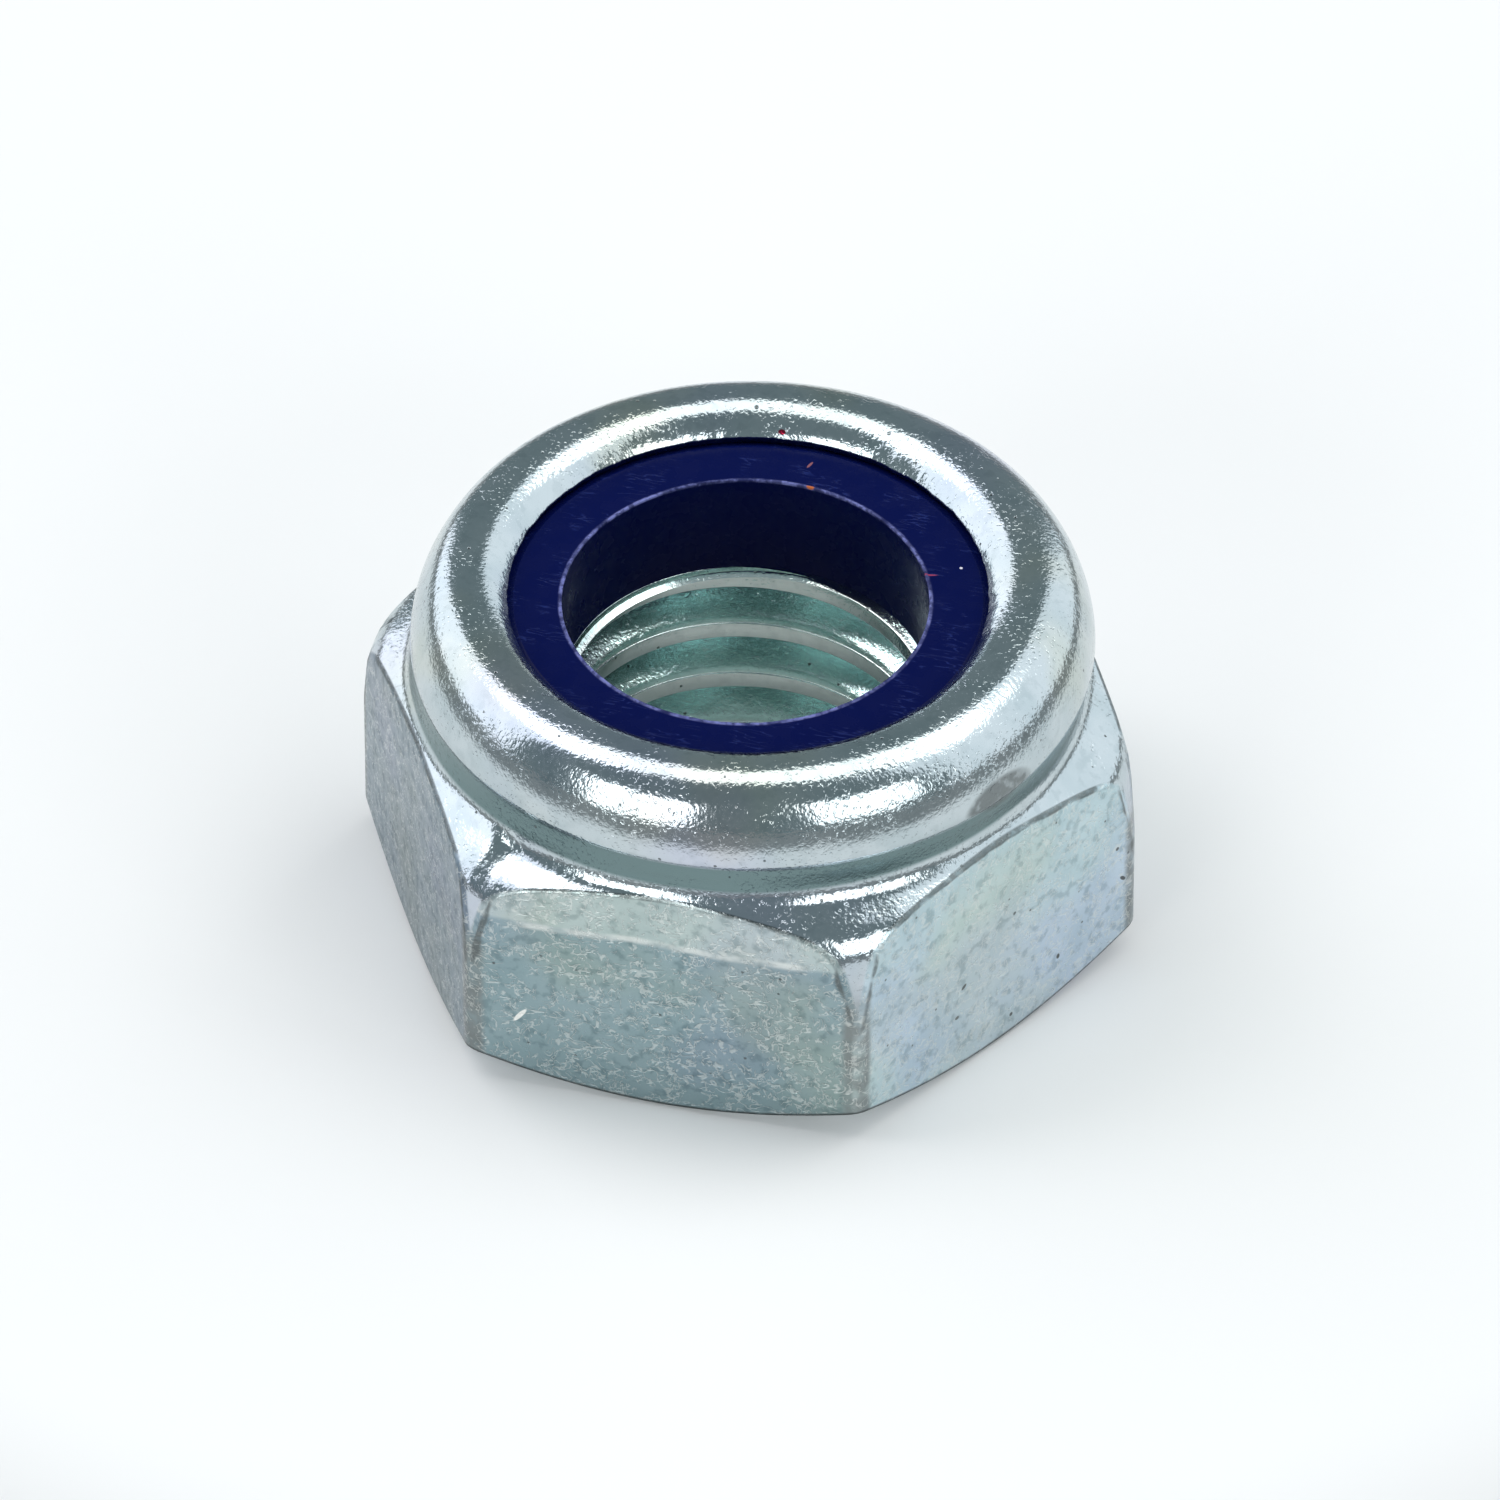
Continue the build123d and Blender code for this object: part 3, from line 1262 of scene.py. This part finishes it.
        fall = shader.times(shader.minus(radius, hexagon.flat_distance), TAN_30)
        above = shader.times(shader.minus(shader.plus(height, fall), hexagon.flat_height), COS_30)
        slant = math.tan(math.radians(hexagon.corner_lean))
        slant = shader.times(shader.minus(height, self.top_corner[1]), slant)
        beyond = shader.minus(shader.plus(radius, slant), self.top_corner[0])
        outside = shader.plus(shader.largest(above, beyond), shader.clouds(self.rim_width))
        gap = shader.minus(across, shader.step(radius, self.rim_corner, self.rim_reach))
        top = shader.times(shader.step(outside, self.rim_edge), shader.step(gap, self.rim_gap))

        foot = shader.times(shader.minus(radius, hexagon.bearing_radius), TAN_30)
        foot = shader.minus(shader.height, foot)
        low = shader.times(shader.step(foot, self.foot_top), shader.step(foot, self.foot_bottom))
        low = shader.times(low, shader.step(across, self.foot_reach))
        return shader.times(shader.largest(top, low), shader.clouds(self.rim_patches))

    def crease_mask(self, shader: Shader) -> Output:
        """Painted highlight: a bright line where the band below the top rim starts to lean in.

        Args:
            shader: The material's node tree.

        Returns:
            The mask, strongest on the flat with the painted light band.
        """
        wander = shader.minus(shader.grain(*self.wander), 0.5)
        gap = shader.minus(shader.height, self.hexagon.crease_height)
        gap = shader.plus(gap, shader.times(wander, self.crease_wander))
        facing = shader.facing(30 + 60 * self.lit_band_flat)
        return shader.times(
            shader.step(shader.maths("ABSOLUTE", gap), self.crease_width),
            shader.step(shader.radius, self.crease_reach),
            shader.step(facing, self.crease_side, self.crease_shares),
            shader.clouds(self.crease_patches),
        )

    def scratches(self, shader: Shader) -> Output:
        """Fine wormy scratches in patches, as nuts get that are tumbled in a drum.

        Args:
            shader: The material's node tree.

        Returns:
            The mask.
        """
        fine = []
        for scale, stretch in self.scratch_kinds:
            stretched = shader.vector("MULTIPLY", shader.place, stretch)
            worm = shader.grain(scale, 1, stretched, self.scratch_warp)
            patches = shader.clouds(Clouds(scale * self.scratch_patch, 1, self.scratch_levels))
            fine.append(shader.times(shader.hairlines(worm, self.scratch_width), patches))
        return shader.largest(*fine)

    def tone(self, shader: Shader, masks: PlateMasks) -> Output:
        """Clean plate: clouds, the lilac and straw of passivation, painted light and shade as a
        tone for each flat and a lighter band on one flat, and painted light in the thread.

        Args:
            shader: The material's node tree.
            masks: Masks of the plate's regions.

        Returns:
            The colour's output.
        """
        tone = self.base
        # Painted light and shade: each flat gets its own brightness.
        for index, colour in enumerate(self.flat_light_and_shade):
            share = shader.step(shader.facing(30 + 60 * index), self.tone_reach)
            share = shader.times(share, masks.flats)
            tone = shader.mix(share, tone, colour)
            # Painted light: the band above this flat's crease is made lighter.
            if index == self.lit_band_flat:
                edge = moved(self.lit_band_edge, self.hexagon.crease_height)
                share = shader.times(share, shader.step(shader.height, edge))
                tone = shader.tint(share, tone, self.painted_band_light)
        straw_place = shader.vector("ADD", shader.place, self.straw_offset)
        tone = shader.tint(shader.clouds(self.shade_clouds), tone, self.shade)
        tone = shader.tint(shader.clouds(self.lilac_clouds), tone, self.lilac)
        tone = shader.tint(shader.clouds(self.straw_clouds, straw_place), tone, self.straw)
        # Painted light in the bore, the crests lightest.
        crest = shader.step(shader.radius, self.crest_reach)
        return shader.mix(masks.thread, tone, shader.mix(crest, self.painted_bore_light, self.crest))

    def colour(self, shader: Shader, masks: PlateMasks) -> Output:
        """Plate with its blotches, its wear, darker corners, dark pits and specks, painted shade on
        the neck and along the rims, and a painted highlight on the crease.

        Args:
            shader: The material's node tree.
            masks: Masks of the plate's regions and flaws.

        Returns:
            The colour's output.
        """
        blotches = shader.times(
            shader.step(masks.mottle, self.blotch_levels),
            shader.step(masks.flats, (0.0, 1.0), self.blotch_shares),
        )
        tone = shader.tint(blotches, self.tone(shader, masks), self.blotched)
        # Painted shade along the flats' rims, and dark pits.
        rim_shade_and_pits = shader.largest(masks.rim, masks.pits)
        for share, over in (
            # Painted shade on the collar's wall above the neck.
            (masks.neck, self.neck_shade),
            # Darker rounded corners below the top chamfer, in patches.
            (masks.corner, self.corner_darkening),
            (shader.times(masks.scratches, self.scratch_share), self.bright),
            # Painted highlight along the crease.
            (shader.times(masks.crease, self.crease_highlight_share), self.bright),
            (shader.times(rim_shade_and_pits, self.shade_and_grime_share), self.grime_and_rim_shade),
        ):
            tone = shader.mix(share, tone, over)
        return reduce(lambda under, mark: mark.lay(shader, under), self.marks, tone)

    def roughness(self, shader: Shader, masks: PlateMasks) -> Output:
        """Roughness: satin flats, bright formed steel, a duller neck.

        Args:
            shader: The material's node tree.
            masks: Masks of the plate's regions and flaws.

        Returns:
            The roughness's output.
        """
        satin = shader.step(masks.mottle, NOISE_SPREAD, self.flat_roughness)
        polish = shader.step(masks.speckle, NOISE_SPREAD, self.formed_roughness)
        polish = shader.between(masks.thread, polish, self.thread_roughness)
        polish = shader.between(masks.neck, polish, self.neck_roughness)
        return shader.between(masks.flats, polish, satin)

    def relief(self, shader: Shader, masks: PlateMasks) -> Output:
        """Fine relief: the grain of forming, the wear of the flats, slow waves and pits.

        Args:
            shader: The material's node tree.
            masks: Masks of the plate's regions and flaws.

        Returns:
            The normal's output.
        """
        grit = shader.times(shader.clouds(self.grit), shader.clouds(self.grit_patches))
        depth = shader.between(masks.flats, 1.0, self.flat_speckle)
        depth = shader.between(masks.thread, depth, self.thread_speckle)
        speckle = shader.times(shader.minus(masks.speckle, grit), depth)
        wear = shader.minus(shader.times(masks.mottle, masks.flats), masks.scratches)
        normal = shader.bump(speckle, self.speckle_depth)
        normal = shader.bump(shader.plus(wear, masks.crease), self.wear_depth, normal)
        normal = shader.bump(shader.grain(*self.waves), self.wave_depth, normal)
        return shader.bump(masks.pits, self.pit_depth, normal)


@dataclass(frozen=True)
class BlueNylon:
    """Dark blue polyamide, smooth, with a pale bruised line where the thread enters and painted
    shade on the bore's wall.

    The limits of the bruise and the wall are measured from the bore's wall and the ring's top.
    """

    ring: LockingRing = LockingRing()
    base: Colour = (0.0014, 0.0044, 0.058)
    # Painted shade on the bore's wall.
    bore_wall_shade: Colour = (0.0012, 0.0032, 0.036)
    bruised: Colour = (0.19, 0.21, 0.50)
    scratched: Colour = (0.02, 0.035, 0.17)
    marks: tuple[Mark, ...] = (
        Mark((0.36, 3.37, 7.06), (0.55, 0.15, 0.05), 0.05, 0.1, (0.99, -0.12, 0.0)),
        Mark((0.19, 4.0, 7.05), (0.26, 0.10, 0.12), 0.03, 0.12, (0.35, 0.93, 0.0)),
        Mark((3.07, 1.48, 7.06), (0.30, 0.05, 0.11), 0.03, 0.26, (0.97, 0.24, 0.0)),
        Mark((3.64, 1.83, 7.05), (0.75, 0.72, 0.80), 0.035, 0.035),
        Mark((2.64, 2.18, 5.95), (0.78, 0.62, 0.60), 0.05, 0.09),
    )
    bruise_reach: Limits = (0.09, 0.045)
    bruise_foot: Limits = (-0.05, 0.0)
    bruise_shares: Limits = (0.3, 1.0)
    bruise_levels: Limits = (0.35, 0.6)
    torn: Clouds = Clouds(8, 3, (0.4, 0.6), (0.3, 1.0))
    wall_reach: Limits = (0.02, 0.005)
    patches: Grain = (2.5, 3)
    roughness: Limits = (0.2, 0.32)
    ior: float = 1.5
    specular: float = 0.08
    scratch_share: float = 0.5
    scratch_grain: Grain = (3.2, 1)
    scratch_warp: float = 0.25
    scratch_turn: float = 38.0
    scratch_stretch: Place = (0.5, 3.4, 1.0)
    scratch_width: Limits = (0.03, 0.005)
    scratch_patches: Clouds = Clouds(1.6, 2, (0.48, 0.6))
    scratch_depth: float = -0.003
    waves: Grain = (1.4, 1)
    wave_depth: float = 0.012
    fine_grain: Grain = (14, 2)
    fine_depth: float = 0.0012

    def build(self) -> bpy.types.Material:
        """Make the material.

        Returns:
            The material.
        """
        shader, bore = Shader("blue_nylon"), self.ring.bore_radius
        centred = shader.vector("SUBTRACT", shader.place, (*self.ring.bore_shift, 0.0))
        radius = shader.from_axis(centred)
        patches = shader.grain(*self.patches)
        bruise = shader.times(
            shader.step(radius, moved(self.bruise_reach, bore)),
            shader.step(shader.height, moved(self.bruise_foot, self.ring.top)),
            shader.clouds(self.torn),
            shader.step(patches, self.bruise_levels, self.bruise_shares),
        )
        wall = shader.step(radius, moved(self.wall_reach, bore))
        scratches = shader.times(self.scratches(shader), shader.minus(1.0, wall))

        # Painted shade: the bore's wall is coloured darker than the ring's top.
        tone = shader.mix(wall, self.base, self.bore_wall_shade)
        tone = shader.mix(shader.times(scratches, self.scratch_share), tone, self.scratched)
        tone = shader.mix(bruise, tone, self.bruised)
        normal = shader.bump(shader.grain(*self.waves), self.wave_depth)
        normal = shader.bump(scratches, self.scratch_depth, normal)
        return shader.finish({
            "Base Color": reduce(lambda under, mark: mark.lay(shader, under), self.marks, tone),
            "Roughness": shader.step(patches, NOISE_SPREAD, self.roughness),
            "IOR": self.ior,
            "Specular IOR Level": self.specular,
            "Normal": shader.bump(shader.grain(*self.fine_grain), self.fine_depth, normal),
        })

    def scratches(self, shader: Shader) -> Output:
        """Fine, nearly straight scratches across the ring's top.

        Args:
            shader: The material's node tree.

        Returns:
            The mask.
        """
        turn = (0.0, 0.0, math.radians(self.scratch_turn))
        inputs = {"Vector": shader.place, "Rotation": turn, "Scale": self.scratch_stretch}
        turned = shader.node("Mapping", inputs).outputs["Vector"]
        streak = shader.grain(*self.scratch_grain, turned, self.scratch_warp)
        lines = shader.hairlines(streak, self.scratch_width)
        return shader.times(lines, shader.clouds(self.scratch_patches))


class Facing(Enum):
    """Which way a lamp's panel faces."""

    NUT = "nut"
    LEVEL = "level"
    DOWN = "down"


@dataclass(frozen=True)
class Lamp:
    """A rectangular panel of light, placed by the angle round the nut from the camera."""

    name: str
    side: float
    distance: float
    height: float
    size: tuple[float, float]
    radiance: float
    tint: Colour = (1.0, 1.0, 1.0)
    facing: Facing = Facing.NUT

    def make(self, camera_bearing: float) -> bpy.types.Object:
        """Hang the lamp.

        Args:
            camera_bearing: Bearing of the camera.

        Returns:
            The lamp.
        """
        bearing = camera_bearing + self.side
        outward, up = Vector(direction(bearing)), Vector((0, 0, 1))
        place = outward * self.distance + up * self.height
        away = {Facing.NUT: place, Facing.LEVEL: outward, Facing.DOWN: up}[self.facing]
        bpy.ops.object.light_add(type="AREA", location=place)
        lamp = bpy.context.object
        lamp.name = self.name
        lamp.rotation_euler = away.to_track_quat("Z", "Y").to_euler()
        if self.facing is Facing.DOWN:
            lamp.rotation_euler = (0, 0, math.radians(bearing) + math.pi / 2)
        lamp.data.shape = "RECTANGLE"
        lamp.data.size, lamp.data.size_y = self.size
        lamp.data.energy = self.radiance * math.pi * self.size[0] * self.size[1]
        lamp.data.color = self.tint
        lamp.visible_camera = False
        return lamp


@dataclass(frozen=True)
class Studio:
    """Pale floor, soft lamps and the camera at the photograph's viewing angle.

    The aim and the floor's fade are in millimetres, the other lengths in metres.
    """

    camera_bearing: float = -75.87
    camera_elevation: float = 41.64
    camera_distance: float = 0.3674
    lens: float = 470.4
    sensor: float = 36.0
    clip: Limits = (0.01, 20.0)
    aim_height: float = 3.77
    aim_right: float = 0.036
    aim_up: float = -0.356
    floor_size: float = 6.0
    floor_colour: Colour = (0.885, 0.88, 0.875)
    # Painted shade: the floor is coloured dark grey beyond the fade.
    far_floor_shade: Colour = (0.26, 0.27, 0.27)
    floor_roughness: float = 0.9
    floor_centre: Point = (-1.7, 6.8)
    fade: Limits = (24.0, 38.0)
    sky: Colour = (0.20, 0.25, 0.265)
    lamps: tuple[Lamp, ...] = (
        Lamp("softbox_left", -37, 0.45, 0.155, (0.28, 0.28), 2.9),
        Lamp("softbox_right", 36, 0.45, 0.18, (0.28, 0.29), 2.4),
        Lamp("wall_left", -116, 0.50, 0.66, (0.70, 1.32), 1.42, (0.94, 0.93, 1.0), Facing.LEVEL),
        Lamp("wall_right", 107, 0.50, 0.66, (0.93, 1.32), 0.95, (0.94, 0.96, 1.0), Facing.LEVEL),
        Lamp("ceiling", 180, 0.15, 0.60, (1.0, 0.34), 1.75, (1.0, 0.99, 0.95), Facing.DOWN),
    )

    def make(self) -> None:
        """Set up the floor, the sky, the lamps and the camera."""
        self.make_floor()
        self.make_sky()
        for lamp in self.lamps:
            lamp.make(self.camera_bearing)
            log.info("lamp %s", lamp.name)
        self.make_camera()
        bpy.context.scene.view_settings.view_transform = "Standard"

    def make_floor(self) -> None:
        """Lay the pale floor, which is coloured grey some way off: painted shade, as of a lit sheet
        in a dim room.
        """
        bpy.ops.object.select_all(action="DESELECT")
        bpy.ops.mesh.primitive_plane_add(size=self.floor_size)
        floor = bpy.context.object
        floor.name = "floor"
        shader = Shader("floor_paper")
        offset = shader.vector("SUBTRACT", shader.place, (*self.floor_centre, 0.0))
        # Painted shade: the floor darkens with distance from its centre.
        far = shader.step(shader.length(offset), self.fade)
        paper = shader.finish({
            "Base Color": shader.mix(far, self.floor_colour, self.far_floor_shade),
            "Roughness": self.floor_roughness,
            "Specular IOR Level": 0.0,
        })
        floor.data.materials.append(paper)

    def make_sky(self) -> None:
        """Give the room round the nut a dim, even grey."""
        world = bpy.data.worlds.new("studio_room")
        bpy.context.scene.world = world
        world.use_nodes = True
        background = world.node_tree.nodes["Background"]
        background.inputs["Color"].default_value = (*self.sky, 1.0)
        background.inputs["Strength"].default_value = 1.0

    def make_camera(self) -> None:
        """Place the camera as the photograph was taken, with its long lens."""
        turn, rise = math.radians(self.camera_bearing), math.radians(self.camera_elevation)
        level = math.cos(rise)
        back = Vector((math.cos(turn) * level, math.sin(turn) * level, math.sin(rise)))
        right = Vector((-math.sin(turn), math.cos(turn), 0))
        up = back.cross(right)
        aim = Vector((0, 0, self.aim_height)) + right * self.aim_right + up * self.aim_up
        bpy.ops.object.camera_add(location=aim * MILLIMETRE + back * self.camera_distance)
        camera = bpy.context.object
        camera.name = "photo_camera"
        camera.rotation_euler = back.to_track_quat("Z", "Y").to_euler()
        camera.data.lens = self.lens
        camera.data.sensor_width = self.sensor
        camera.data.clip_start, camera.data.clip_end = self.clip
        bpy.context.scene.camera = camera


def main() -> None:
    """Make the nut, its ring and the studio, in that order."""
    logging.basicConfig(level=logging.INFO, format="%(message)s")
    NutBody().make(ZincPlate().build())
    LockingRing().make(BlueNylon().build())
    Studio().make()


if __name__ == "__main__":
    main()
